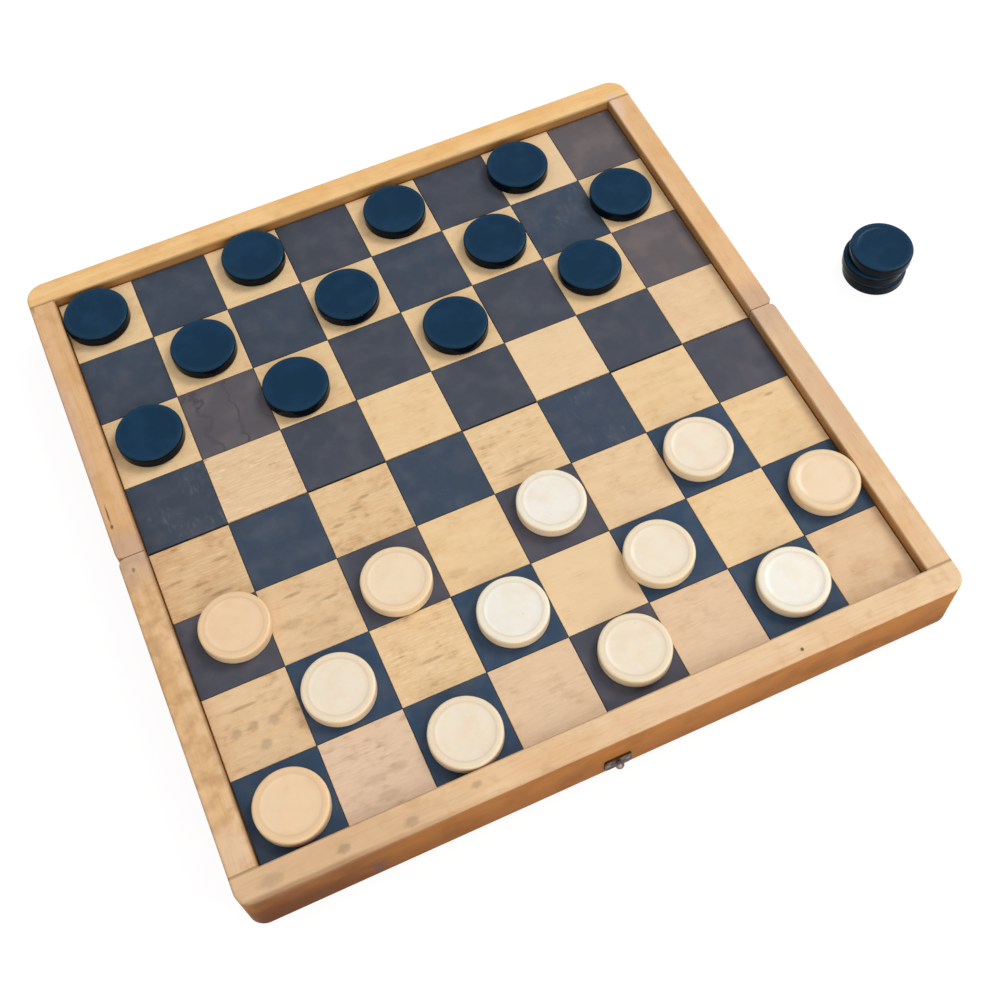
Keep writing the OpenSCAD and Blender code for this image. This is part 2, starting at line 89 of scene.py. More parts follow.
class Graph:
    """Adds nodes to one node tree and joins them up."""

    def __init__(self, tree: NodeTree) -> None:
        """Takes the tree that the nodes go into, and empties it."""
        self.tree = tree
        self.tree.nodes.clear()

    def fill(self, node: Node, inputs: dict[str | int, Any]) -> None:
        """Gives some of a node's inputs a link or a plain value.

        Args:
            node: The node.
            inputs: The output to link to, or the input's own value, by the input's name or number.
        """
        for name, value in inputs.items():
            if isinstance(value, NodeSocket):
                self.tree.links.new(value, node.inputs[name])
            else:
                node.inputs[name].default_value = value

    def add(self, kind: str, inputs: dict[str | int, Any] | None = None, **settings: Any) -> Node:
        """Adds one node.

        Args:
            kind: The node's type, without the words that all types start with.
            inputs: Links or values, by the name or number of the input.
            settings: The node's own settings.

        Returns:
            The new node.
        """
        node = self.tree.nodes.new("ShaderNode" + kind)
        for name, setting in settings.items():
            setattr(node, name, setting)
        self.fill(node, inputs or {})
        return node

    def math(self, operation: str, *values: Any) -> NodeSocket:
        """Works out one number."""
        return self.add("Math", dict(enumerate(values)), operation=operation).outputs[0]

    def times(self, first: Any, second: Any) -> NodeSocket:
        """Multiplies two numbers."""
        return self.math("MULTIPLY", first, second)

    def plus(self, first: Any, second: Any) -> NodeSocket:
        """Adds two numbers."""
        return self.math("ADD", first, second)

    def minus(self, first: Any, second: Any) -> NodeSocket:
        """Takes the second number from the first."""
        return self.math("SUBTRACT", first, second)

    def rest(self, share: Any) -> NodeSocket:
        """Finds what a share leaves of 1."""
        return self.minus(1.0, share)

    def vector(self, operation: str, *values: Any) -> NodeSocket:
        """Works out one vector."""
        return self.add("VectorMath", dict(enumerate(values)), operation=operation).outputs["Vector"]

    def scaled(self, vector: NodeSocket, factor: Any) -> NodeSocket:
        """Multiplies a vector by one number."""
        return self.add("VectorMath", {0: vector, "Scale": factor}, operation="SCALE").outputs["Vector"]

    def length(self, vector: NodeSocket) -> NodeSocket:
        """Measures a vector."""
        return self.add("VectorMath", {0: vector}, operation="LENGTH").outputs["Value"]

    def turn(self, place: NodeSocket, angle: float) -> NodeSocket:
        """Turns a point about Z."""
        return self.add("VectorRotate", {"Vector": place, "Angle": angle}, rotation_type="Z_AXIS").outputs[0]

    def parts(self, vector: NodeSocket) -> list[NodeSocket]:
        """Splits a vector into its three numbers."""
        return list(self.add("SeparateXYZ", {0: vector}).outputs)

    def join(self, x: Any, y: Any, z: Any) -> NodeSocket:
        """Makes a vector of three numbers."""
        return self.add("CombineXYZ", {0: x, 1: y, 2: z}).outputs[0]

    def stored(self, name: str) -> list[NodeSocket]:
        """Reads the three numbers that a mesh keeps at its corners under a name."""
        return self.parts(self.add("Attribute", attribute_name=name).outputs["Vector"])

    def step(self, value: Any, low: Any, high: Any) -> NodeSocket:
        """Rises smoothly from 0, where the value is low, to 1, where it is high."""
        inputs = {"Value": value, "From Min": low, "From Max": high}
        return self.add("MapRange", inputs, interpolation_type="SMOOTHSTEP").outputs["Result"]

    def noise(self, place: Any, scale: Any, detail: float = 2, roughness: float = 0.5,
              distortion: float = 0) -> NodeSocket:
        """Adds cloudy noise round one half.

        Args:
            place: The point at which the noise is read.
            scale: How many lumps there are to a unit.
            detail: How many finer layers are added.
            roughness: How strong the finer layers are.
            distortion: How far the lumps are dragged about.

        Returns:
            The noise, mostly between 0.3 and 0.7.
        """
        inputs = {"Vector": place, "Scale": scale, "Detail": detail, "Roughness": roughness,
                  "Distortion": distortion}
        return self.add("TexNoise", inputs).outputs[0]

    def mix(self, share: Any, first: Any, second: Any) -> NodeSocket:
        """Mixes two colours by the share of the second, which is held between 0 and 1."""
        return self.add("Mix", {0: share, 6: first, 7: second}, data_type="RGBA").outputs[2]

    def layers(self, tint: Any, *layers: tuple[Any, Any, Any]) -> NodeSocket:
        """Lays thin colours over a colour, one after the other.

        Args:
            tint: The colour under them.
            layers: The mask, the strength and the colour of each.

        Returns:
            The layered colour.
        """
        for mask, strength, colour in layers:
            tint = self.mix(self.times(mask, strength), tint, colour)
        return tint

    def use(self, effect: NodeTree, **inputs: Any) -> bpy.types.bpy_prop_collection:
        """Places a shared effect.

        Args:
            effect: The effect's node group.
            inputs: Links or values, by the names of the group's inputs.

        Returns:
            The group's outputs.
        """
        node = self.add("Group", node_tree=effect)
        self.fill(node, inputs)
        return node.outputs


class Effects:
    """The node groups that more than one finish uses, each built once."""

    # How far a seed of 1 moves the noise, and how pores and scratches are turned and drawn out
    SEED_SHIFT = (37.1, 53.7, 71.3)
    PORE_STRETCH = (0.8, 1.9, 1.9)
    SCRATCH_TURNS = (0.35, 1.25, 2.3)
    SCRATCH_STRETCH = (1.0, 26.0, 6.0)

    def __init__(self) -> None:
        """Builds all the groups."""
        self.grain = self._grain()
        self.patches = self._patches()
        self.mark = self._mark()
        self.scratches = self._scratches()
        self.rubbed_and_lit = self._rubbed_and_lit()
        self.disc = self._disc()

    def _start(self, name: str, vectors: tuple[str, ...], numbers: tuple[str, ...],
               results: tuple[str, ...]) -> tuple[Graph, Any, Node]:
        """Starts a node group.

        Args:
            name: The group's name.
            vectors: The names of the inputs that are vectors.
            numbers: The names of the inputs that are numbers.
            results: The names of its outputs, which are all numbers.

        Returns:
            The graph inside, the outputs of its input node, and its output node.
        """
        g = Graph(bpy.data.node_groups.new(name, "ShaderNodeTree"))
        sockets = [(label, "INPUT", "Vector") for label in vectors]
        sockets += [(label, "INPUT", "Float") for label in numbers]
        sockets += [(label, "OUTPUT", "Float") for label in results]
        for label, side, kind in sockets:
            g.tree.interface.new_socket(name=label, in_out=side, socket_type="NodeSocket" + kind)
        return g, g.tree.nodes.new("NodeGroupInput").outputs, g.tree.nodes.new("NodeGroupOutput")

    def _moved(self, g: Graph, place: NodeSocket, seed: NodeSocket) -> NodeSocket:
        """Shifts a point far off by a seed, so that no two pieces show the same patch of noise."""
        return g.vector("ADD", place, g.vector("MULTIPLY", g.join(seed, seed, seed), self.SEED_SHIFT))

    def _grain(self) -> NodeTree:
        """Makes wood grain along X: broad bands, fine streaks and short dark pores.

        Returns:
            The node group.
        """
        g, given, result = self._start("wood_grain", ("Position",), ("Seed", "Length", "Width"),
                                       ("Bands", "Streaks", "Pores"))
        across = g.math("DIVIDE", 1.0, given["Width"])
        size = g.join(g.math("DIVIDE", 1.0, given["Length"]), across, across)
        place = self._moved(g, g.vector("MULTIPLY", given["Position"], size), given["Seed"])
        pores = g.noise(g.vector("MULTIPLY", place, self.PORE_STRETCH), 1.0, detail=1)
        g.fill(result, {"Bands": g.noise(place, 0.14, detail=3, distortion=0.5),
                        "Streaks": g.noise(place, 1.0, detail=4, roughness=0.6, distortion=0.25),
                        "Pores": g.step(pores, 0.6, 0.74)})
        return g.tree

    def _patches(self) -> NodeTree:
        """Makes soft-edged patches, such as stains and worn places.

        Returns:
            The node group.
        """
        numbers = ("Seed", "Size", "Share", "Soft")
        g, given, result = self._start("patches", ("Position",), numbers, ("Mask",))
        place = g.scaled(given["Position"], g.math("DIVIDE", 1.0, given["Size"]))
        cloud = g.noise(self._moved(g, place, given["Seed"]), 1.0, distortion=0.12)
        border = g.minus(0.8, g.times(given["Share"], 0.44))
        half = g.times(given["Soft"], 0.5)
        g.fill(result, {"Mask": g.step(cloud, g.minus(border, half), g.plus(border, half))})
        return g.tree

    def _mark(self) -> NodeTree:
        """Makes one mark with a ragged outline at a named place, such as a knot or a dent.

        Returns:
            The node group.
        """
        g, given, result = self._start("mark", ("Position", "Centre", "Reach"), (), ("Mask",))
        place = g.vector("DIVIDE", g.vector("SUBTRACT", given["Position"], given["Centre"]), given["Reach"])
        ragged = g.times(g.noise(place, 1.7, detail=3), 0.9)
        far = g.plus(g.length(place), g.minus(ragged, 0.45))
        g.fill(result, {"Mask": g.rest(g.step(far, 0.35, 1.0))})
        return g.tree

    def _scratches(self) -> NodeTree:
        """Makes thin scratches in three directions.

        Returns:
            The node group.
        """
        g, given, result = self._start("scratches", ("Position",), ("Seed", "Length", "Share"), ("Mask",))
        place = g.scaled(given["Position"], g.math("DIVIDE", 1.0, given["Length"]))
        start = g.minus(0.82, g.times(given["Share"], 0.2))
        mask = 0.0
        for turn in self.SCRATCH_TURNS:
            drawn = g.vector("MULTIPLY", g.turn(place, turn), self.SCRATCH_STRETCH)
            cloud = g.noise(self._moved(g, drawn, given["Seed"]), 1.0, detail=1, roughness=0.4,
                            distortion=0.15)
            mask = g.math("MAXIMUM", mask, g.step(cloud, start, g.plus(start, 0.05)))
        g.fill(result, {"Mask": mask})
        return g.tree

    def _rubbed_and_lit(self) -> NodeTree:
        """Finds the top band that is drawn pale, partly as wear from hands and partly as painted light: all
        that lies near a height, with an uneven lower border.

        Returns:
            The node group.
        """
        g, given, result = self._start("rubbed_and_lit_top", ("Position",), ("Height", "Depth"), ("Mask",))
        wander = g.minus(g.noise(given["Position"], 90.0, detail=3), 0.5)
        border = g.minus(given["Height"], g.times(given["Depth"], g.plus(1.0, g.times(wander, 2.4))))
        low = g.minus(border, given["Depth"])
        g.fill(result, {"Mask": g.step(g.parts(given["Position"])[2], low, border)})
        return g.tree

    def _disc(self) -> NodeTree:
        """Reads a turned piece's own map: how far a point is from its middle, and how near to a ring.

        Returns:
            The node group.
        """
        g, given, result = self._start("turned_disc", ("Map",), ("Ring", "Width"), ("Radius", "Ring"))
        radius = g.times(g.length(g.vector("SUBTRACT", given["Map"], (0.5, 0.5, 0.0))), 2.0)
        off = g.math("DIVIDE", g.math("ABSOLUTE", g.minus(radius, given["Ring"])), given["Width"])
        g.fill(result, {"Radius": radius, "Ring": g.rest(g.step(off, 0.0, 1.0))})
        return g.tree


@dataclass(frozen=True)
class Mark:
    """One mark in the wood at a named place, measured from the board's middle on the table."""

    centre: Point
    reach: Point
    tint: Colour
    strength: float


class Look(Graph):
    """The nodes of one material: its shader, the place on the object and the shared effects."""

    def __init__(self, name: str, effects: Effects) -> None:
        """Starts the material.

        Args:
            name: The material's name.
            effects: The shared effects.
        """
        self.material = bpy.data.materials.new(name)
        self.material.use_nodes = True
        super().__init__(self.material.node_tree)
        self.effects = effects
        self.shader = self.add("BsdfPrincipled")
        self.add("OutputMaterial", {"Surface": self.shader.outputs[0]})
        self.place = self.vector("SUBTRACT", self.add("TexCoord").outputs["Object"], (BOARD_X, 0, 0))

    def grain(self, seed: Any, length: float, width: float, along_x: bool = True) -> list[NodeSocket]:
        """Makes the bands, the streaks and the pores of wood, with streaks of a size in metres."""
        turned = self.place if along_x else self.turn(self.place, math.pi / 2)
        return list(self.use(self.effects.grain, Position=turned, Seed=seed, Length=length, Width=width))

    def patches(self, seed: Any, size: float, share: float, soft: float = 0.16,
                drawn: Point = (1.0, 1.0, 1.0)) -> NodeSocket:
        """Makes soft-edged patches.

        Args:
            seed: A number that sets where they lie.
            size: Their size in metres.
            share: About what share of the surface they cover.
            soft: How soft their edges are.
            drawn: What the place is multiplied by, which draws them out where it is below 1.

        Returns:
            The mask of the patches.
        """
        place = self.vector("MULTIPLY", self.place, drawn)
        return self.use(self.effects.patches, Position=place, Seed=seed, Size=size, Share=share,
                        Soft=soft)["Mask"]

    def scratches(self, seed: Any, length: float, share: float) -> NodeSocket:
        """Makes thin scratches of a length in metres."""
        return self.use(self.effects.scratches, Position=self.place, Seed=seed, Length=length,
                        Share=share)["Mask"]

    def disc(self, ring: float = 0.0, width: float = 1.0) -> list[NodeSocket]:
        """Reads how far a point of a turned piece is from its middle, and how near to a ring."""
        own = self.add("UVMap", uv_map="disc").outputs[0]
        return list(self.use(self.effects.disc, Map=own, Ring=ring, Width=width))

    def marked(self, tint: NodeSocket, marks: tuple[Mark, ...]) -> NodeSocket:
        """Lays marks over a colour.

        Args:
            tint: The colour under the marks.
            marks: The marks.

        Returns:
            The marked colour.
        """
        for mark in marks:
            mask = self.use(self.effects.mark, Position=self.place, Centre=mark.centre, Reach=mark.reach)
            tint = self.layers(tint, (mask["Mask"], mark.strength, mark.tint))
        return tint

    def surface(self, inputs: dict[str, Any], height: NodeSocket, depth: float) -> None:
        """Sets the shader's inputs, and a relief whose height 1 stands for a depth in metres."""
        bump = self.add("Bump", {"Height": height, "Strength": 1.0, "Distance": depth})
        self.fill(self.shader, {**inputs, "Normal": bump.outputs[0]})


@dataclass(frozen=True)
class Finish:
    """A finish of its own name, made of nodes on the place on the object."""

    name: str
    effects: Effects

    def lay(self, g: Look) -> None:
        """Lays out the finish's own nodes in its material."""
        raise NotImplementedError

    def make(self) -> Material:
        """Builds the material.

        Returns:
            The material.
        """
        g = Look(self.name, self.effects)
        self.lay(g)
        return g.material


@dataclass(frozen=True)
class RailWood(Finish):
    """Old varnished maple, named after its rail: pale and blotched above, brown and glossy at its sides; the
    pale top and the darker, browner sides are partly worn varnish and partly painted light and shade.
    """

    seed: float
    blotch_share: float
    pale: Colour
    warm: Colour
    marks: tuple[Mark, ...]
    blotch: Colour = paint(190, 146, 100)
    streak: Colour = paint(192, 142, 90)
    side: Colour = paint(196, 128, 62)
    side_dark: Colour = paint(152, 92, 40)
    wall: Colour = paint(216, 158, 92)
    dirt_and_shade: Colour = paint(84, 54, 36)
    shade_top: float = 0.022
    shade_foot: float = 0.004
    rubbed_and_lit_depth: float = 0.0006
    seam_w: float = 0.0012
    edge_w: float = 0.0009
    joint_w: float = 0.0007
    wall_edge: float = 0.0005
    crisp: float = 0.0001

    @property
    def along_x(self) -> bool:
        """Tells whether the rail runs along X, as the end rails do."""
        return "end" in self.name

    def edges(self, g: Look) -> tuple[NodeSocket, NodeSocket]:
        """Finds where the rail's inner wall and its joint with the next rail are.

        Args:
            g: The material's nodes.

        Returns:
            The distance behind the inner wall, and the distance from the end of the rail.
        """
        low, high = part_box(self.name)
        across, along, _ = g.parts(g.place)
        sides, ends = (low.x - BOARD_X, high.x - BOARD_X), (low.y, high.y)
        if self.along_x:
            across, along, sides, ends = along, across, ends, sides
        behind = g.minus(g.math("ABSOLUTE", across), min(abs(side) for side in sides))
        left = g.minus(max(abs(end) for end in ends), g.math("ABSOLUTE", along))
        return behind, left

    def lay(self, g: Look) -> None:
        """Lays out the nodes.

        Args:
            g: The material's nodes.
        """
        bands, streaks, pores = g.grain(self.seed, length=0.012, width=0.0011, along_x=self.along_x)
        cloud = g.patches(self.seed, size=0.014, share=0.5, soft=0.3)
        blotch = g.patches(self.seed + 0.4, size=0.0052, share=self.blotch_share, soft=0.36)
        rubbed_and_lit = g.use(g.effects.rubbed_and_lit, Position=g.place, Height=TOP_Z, Depth=self.rubbed_and_lit_depth)["Mask"]
        behind, left = self.edges(g)
        height = g.parts(g.place)[2]
        blend = g.plus(g.times(g.step(bands, 0.38, 0.62), 0.5), g.times(cloud, 0.5))
        top = g.layers(g.mix(blend, self.pale, self.warm), (g.step(streaks, 0.46, 0.74), 0.16, self.streak),
                       (blotch, self.blotch_share, self.blotch))
        # Painted shade: the sides darken towards their foot.
        low = g.times(g.rest(g.step(height, self.shade_foot, self.shade_top)), 0.5)
        inside = g.rest(g.step(behind, self.crisp, self.wall_edge))
        side = g.layers(g.mix(g.plus(g.times(cloud, 0.4), low), self.side, self.side_dark),
                        (g.step(streaks, 0.48, 0.74), 0.25, self.side_dark), (inside, 1.0, self.wall))
        # Painted light and shade: the top is drawn paler and the sides darker and browner, as well as wear
        # and varnish.
        tint = g.marked(g.mix(rubbed_and_lit, side, top), self.marks)
        # Dirt and painted shade: a dark line in the corner at the foot of the inner wall, and a darker strip
        # along the wall's top edge.
        seam = g.rest(g.step(height, SURFACE_Z + self.crisp, SURFACE_Z + self.seam_w))
        inner_edge = g.times(g.rest(g.step(behind, 2 * self.crisp, self.edge_w)), 0.4)
        corner_dirt_and_shade = g.math("MAXIMUM", g.times(g.times(inside, seam), 0.6), inner_edge)
        tint = g.layers(tint, (corner_dirt_and_shade, 1.0, self.dirt_and_shade))
        if not self.along_x:
            tint = g.layers(tint, (g.rest(g.step(left, self.crisp, self.joint_w)), 0.55, self.dirt_and_shade))
        rough = g.plus(0.46, g.times(streaks, 0.12))
        g.surface({"Base Color": g.layers(tint, (pores, 0.06, self.blotch)),
                   "Roughness": g.minus(rough, g.times(blotch, 0.08)), "Specular IOR Level": 0.04},
                  height=g.minus(streaks, pores), depth=0.00006)


@dataclass(frozen=True)
class PlainWood(Finish):
    """Bare wood that sees little wear: ply, hidden rails and dowels."""

    seed: float
    pale: Colour
    dark: Colour
    along_x: bool = True
    pore: Colour = paint(110, 76, 46)

    def lay(self, g: Look) -> None:
        """Lays out the nodes.

        Args:
            g: The material's nodes.
        """
        bands, streaks, pores = g.grain(self.seed, length=0.016, width=0.0011, along_x=self.along_x)
        stain = g.patches(self.seed, size=0.035, share=0.35)
        tint = g.layers(g.mix(g.step(bands, 0.36, 0.64), self.pale, self.dark),
                        (g.step(streaks, 0.5, 0.68), 0.35, self.dark), (stain, 0.25, self.dark),
                        (pores, 0.4, self.pore))
        g.surface({"Base Color": tint, "Roughness": g.plus(0.6, g.times(streaks, 0.15)),
                   "Specular IOR Level": 0.25}, height=g.minus(streaks, pores), depth=0.0001)


@dataclass(frozen=True)
class LightVeneer(Finish):
    """The light squares: pale maple, each with lines and blotches of its own along the fold."""

    marks: tuple[Mark, ...]
    cream: Colour = paint(240, 207, 159)
    warm: Colour = paint(227, 185, 130)
    pale: Colour = paint(242, 212, 168)
    rosy: Colour = paint(229, 199, 173)
    tan: Colour = paint(210, 166, 119)
    light: Colour = paint(248, 222, 180)
    streak: Colour = paint(160, 114, 74)
    smudge: Colour = paint(156, 118, 88)

    def lay(self, g: Look) -> None:
        """Lays out the nodes.

        Args:
            g: The material's nodes.
        """
        seed, lined, blotched = g.stored("square")
        rosy, pale, tan = g.stored("tone")
        bands, streaks, _ = g.grain(seed, length=0.0052, width=0.00062)
        cloud = g.patches(seed, size=0.009, share=0.5, soft=0.34)
        dapple = g.patches(g.plus(seed, 0.29), size=0.0029, share=0.5, soft=0.36)
        blots = g.patches(seed, size=0.0026, share=0.42, soft=0.26, drawn=(0.45, 1.0, 1.0))
        specks = g.patches(seed, size=0.0011, share=0.1)
        blend = g.plus(g.times(g.step(bands, 0.36, 0.62), 0.4),
                       g.plus(g.times(cloud, 0.35), g.times(dapple, 0.3)))
        lines = g.plus(0.05, g.times(lined, 0.75))
        broken = g.plus(0.12, g.times(g.times(cloud, dapple), 1.6))
        dark_lines = g.times(g.step(streaks, 0.47, 0.68), broken)
        light_lines = g.times(g.rest(g.step(streaks, 0.34, 0.46)), g.rest(g.times(dapple, 0.6)))
        light_lines = g.times(light_lines, g.rest(g.times(tan, 0.45)))
        soiled = g.times(blotched, g.plus(0.16, g.times(cloud, 0.5)))
        tint = g.layers(g.mix(blend, self.cream, self.warm),
                        (pale, 0.7, self.pale), (rosy, 0.85, self.rosy),
                        (tan, g.plus(0.45, g.times(cloud, 0.4)), self.tan),
                        (dark_lines, lines, self.streak), (light_lines, lines, self.light),
                        (blots, soiled, self.smudge), (specks, 0.16, self.smudge))
        g.surface({"Base Color": g.marked(tint, self.marks),
                   "Roughness": g.plus(0.42, g.times(streaks, 0.2)), "Specular IOR Level": 0.2},
                  height=g.minus(streaks, g.times(blots, 0.3)), depth=0.00006)


@dataclass(frozen=True)
class DarkVeneer(Finish):
    """The dark squares: black stain gone slate, softly clouded, with scuffs, flecks and a few cracks."""

    slate: Colour = paint(66, 73, 85)
    navy: Colour = paint(51, 72, 96)
    violet: Colour = paint(80, 77, 89)
    brown: Colour = paint(112, 101, 101)
    haze: Colour = paint(102, 104, 110)
    deep: Colour = paint(44, 50, 62)
    worn: Colour = paint(132, 134, 130)
    black: Colour = paint(52, 50, 58)

    def cracks(self, g: Look, seed: NodeSocket) -> NodeSocket:
        """Draws a net of thin, wandering cracks.

        Args:
            g: The material's nodes.
            seed: The square's own number.

        Returns:
            The mask of the cracks.
        """
        moved = g.vector("ADD", g.place, g.scaled(g.join(seed, seed, 0.0), 3.0))
        wander = g.add("TexNoise", {"Vector": moved, "Scale": 150.0, "Detail": 3}).outputs["Color"]
        bent = g.vector("ADD", g.vector("MULTIPLY", moved, (78.0, 24.0, 40.0)), g.scaled(wander, 0.7))
        cell = g.add("TexVoronoi", {"Vector": bent, "Scale": 1.0}, feature="DISTANCE_TO_EDGE").outputs[0]
        return g.rest(g.step(cell, 0.0, 0.085))

    def lay(self, g: Look) -> None:
        """Lays out the nodes.

        Args:
            g: The material's nodes.
        """
        seed, cracked, scuffed = g.stored("square")
        navy, violet, brown = g.stored("tone")
        cloud = g.patches(seed, size=0.0075, share=0.5, soft=0.4)
        drift = g.patches(g.plus(seed, 0.37), size=0.012, share=0.55, soft=0.3)
        scuff = g.patches(seed, size=0.0022, share=0.4, soft=0.3, drawn=(1.6, 0.6, 1.0))
        fleck = g.patches(seed, size=0.0008, share=0.06, soft=0.06)
        lines = g.scratches(seed, length=0.010, share=0.4)
        crack = g.times(self.cracks(g, seed), g.times(cracked, g.plus(0.35, g.times(drift, 0.65))))
        tint = g.layers(g.mix(navy, self.slate, self.navy),
                        (violet, g.plus(0.4, g.times(drift, 0.6)), self.violet),
                        (brown, g.plus(0.8, g.times(drift, 0.2)), self.brown),
                        (cloud, 0.3, self.haze), (g.rest(drift), 0.16, self.deep),
                        (g.times(scuff, drift), g.times(scuffed, 0.34), self.worn),
                        (lines, g.plus(0.03, g.times(scuffed, 0.2)), self.worn),
                        (fleck, 0.35, self.worn), (crack, 0.6, self.black))
        rough = g.plus(0.5, g.times(cloud, 0.12))
        g.surface({"Base Color": tint, "Roughness": g.plus(rough, g.times(scuff, 0.1)),
                   "Specular IOR Level": 0.15},
                  height=g.minus(g.times(cloud, 0.5), g.plus(crack, fleck)), depth=0.00008)


@dataclass(frozen=True)
class OldMetal(Finish):
    """Cheap metal hardware that has gone dull, with bright places where it rubs."""

    bright: Colour
    dull: Colour
    rust: Colour

    def lay(self, g: Look) -> None:
        """Lays out the nodes.

        Args:
            g: The material's nodes.
        """
        dull = g.patches(0.3, size=0.0022, share=0.66)
        rust = g.patches(0.7, size=0.0007, share=0.28)
        lines = g.scratches(0.5, length=0.003, share=0.5)
        tint = g.layers(self.bright, (dull, 0.6, self.dull), (rust, 0.4, self.rust),
                        (lines, 0.25, self.bright))
        rough = g.minus(g.plus(0.42, g.times(dull, 0.2)), g.times(lines, 0.1))
        g.surface({"Base Color": tint, "Metallic": g.rest(g.times(rust, 0.3)), "Roughness": rough},
                  height=g.plus(g.times(dull, 0.5), lines), depth=0.00003)


@dataclass(frozen=True)
class BlackPieceGloss(Finish):
    """Moulded black pieces, polished, with hair scratches, navy on top with a lighter rim and black at the
    sides; the navy top and lighter rim are partly the pieces' own cast and partly painted reflection and
    highlight.
    """

    deep: Colour = paint(19, 51, 76)
    lit: Colour = paint(24, 57, 84)
    rim: Colour = paint(27, 60, 84)
    side: Colour = paint(7, 14, 23)
    worn: Colour = paint(70, 92, 112)

    def lay(self, g: Look) -> None:
        """Lays out the nodes.

        Args:
            g: The material's nodes.
        """
        radius, _ = g.disc()
        cloud = g.patches(0.1, size=0.008, share=0.5, soft=0.3)
        lines = g.scratches(0.2, length=0.006, share=0.45)
        # Painted reflection and highlight: the top is drawn navy and its rim ring lighter, over black sides.
        tint = g.layers(g.mix(cloud, self.deep, self.lit), (g.step(radius, 0.8, 0.9), 0.7, self.rim),
                        (lines, 0.05, self.worn), (g.step(radius, 0.965, 0.999), 1.0, self.side))
        rough = g.plus(0.10, g.times(cloud, 0.05))
        g.surface({"Base Color": tint, "Roughness": g.plus(rough, g.times(lines, 0.12)),
                   "Specular IOR Level": 0.06}, height=g.minus(cloud, g.times(lines, 0.2)), depth=0.00001)


class IvoryTint(Enum):
    """How far a white piece has yellowed: the colour of its face, and of its rim."""

    HONEY = (paint(243, 213, 176), paint(237, 202, 160))
    BUFF = (paint(239, 214, 180), paint(233, 205, 164))
    CREAM = (paint(244, 223, 193), paint(239, 213, 176))
    SHELL = (paint(244, 230, 209), paint(239, 221, 192))
    BONE = (paint(245, 239, 228), paint(241, 231, 210))


@dataclass(frozen=True)
class IvoryPieceGloss(Finish):
    """Moulded ivory-coloured pieces, polished, mottled, tan down their sides with painted shade at the foot,
    and darker in a ring round the middle.
    """

    tint: IvoryTint
    dirt_and_shade: Colour = paint(186, 162, 130)
    blush: Colour = paint(240, 204, 168)
    side: Colour = paint(232, 204, 162)
    foot_shade_h: float = 0.0022

    def lay(self, g: Look) -> None:
        """Lays out the nodes.

        Args:
            g: The material's nodes.
        """
        face, rim = self.tint.value
        radius, ring = g.disc(ring=0.81, width=0.06)
        cloud = g.patches(0.6, size=0.0058, share=0.5, soft=0.34)
        blush = g.patches(0.45, size=0.0075, share=0.4, soft=0.24)
        stain = g.patches(0.9, size=0.0016, share=0.1)
        lines = g.scratches(0.8, length=0.005, share=0.4)
        # Painted shade: the side darkens near the board, where the piece stands. The ring where the face
        # steps down is drawn darker.
        foot = g.rest(g.step(g.parts(g.place)[2], SURFACE_Z, SURFACE_Z + self.foot_shade_h))
        tint = g.layers(face, (cloud, 0.6, rim), (blush, 0.2, self.blush),
                        (g.step(radius, 0.76, 0.88), 0.8, rim), (ring, 0.24, self.dirt_and_shade),
                        (stain, 0.3, self.dirt_and_shade), (lines, 0.1, self.dirt_and_shade),
                        (g.step(radius, 0.965, 0.998), 0.7, self.side), (foot, 0.45, self.dirt_and_shade))
        rough = g.plus(0.28, g.times(cloud, 0.08))
        g.surface({"Base Color": tint, "Roughness": g.plus(rough, g.times(lines, 0.1)),
                   "Specular IOR Level": 0.4, "Subsurface Weight": 0.6, "Subsurface Scale": 0.003,
                   "Subsurface Radius": (1.0, 0.75, 0.5)},
                  height=g.minus(cloud, g.times(lines, 0.5)), depth=0.00002)


def put(name: str, data: bpy.types.ID) -> Object:
    """Puts a mesh, a lamp or a camera into the scene.

    Args:
        name: The new object's name.
        data: What it shows.

    Returns:
        The new object.
    """
    held = bpy.data.objects.new(name, data)
    bpy.context.scene.collection.objects.link(held)
    return held


def put_mesh(name: str, mesh: BMesh, material: Material) -> Object:
    """Puts a finished mesh into the scene.

    Args:
        name: The new object's name.
        mesh: Its shape, in place. It is freed here.
        material: Its material.

    Returns:
        The new object.
    """
    data = bpy.data.meshes.new(name)
    mesh.to_mesh(data)
    mesh.free()
    data.materials.append(material)
    return put(name, data)


def dress(node: str, material: Material) -> None:
    """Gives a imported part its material.

    Args:
        node: The part's name.
        material: The material for all of its slots.
    """
    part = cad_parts[node]
    if not part.material_slots:
        part.data.materials.append(material)
    for held in part.material_slots:
        held.material = material
    log.info("dressed %s", node)


def add_piece(name: str, mesh: BMesh, material: Material, body: str,
              replaced: tuple[str, ...]) -> None:
    """Makes a piece of a finished mesh, and joins it to the body that carries it.

    Args:
        name: The new piece's name.
        mesh: Its shape, in place. It is freed here.
        material: Its material.
        body: The body that it moves with.
        replaced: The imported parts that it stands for.
    """
    piece = put_mesh(name, mesh, material)
    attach(piece, body)
    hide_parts(*replaced)
    log.info("built %s", name)


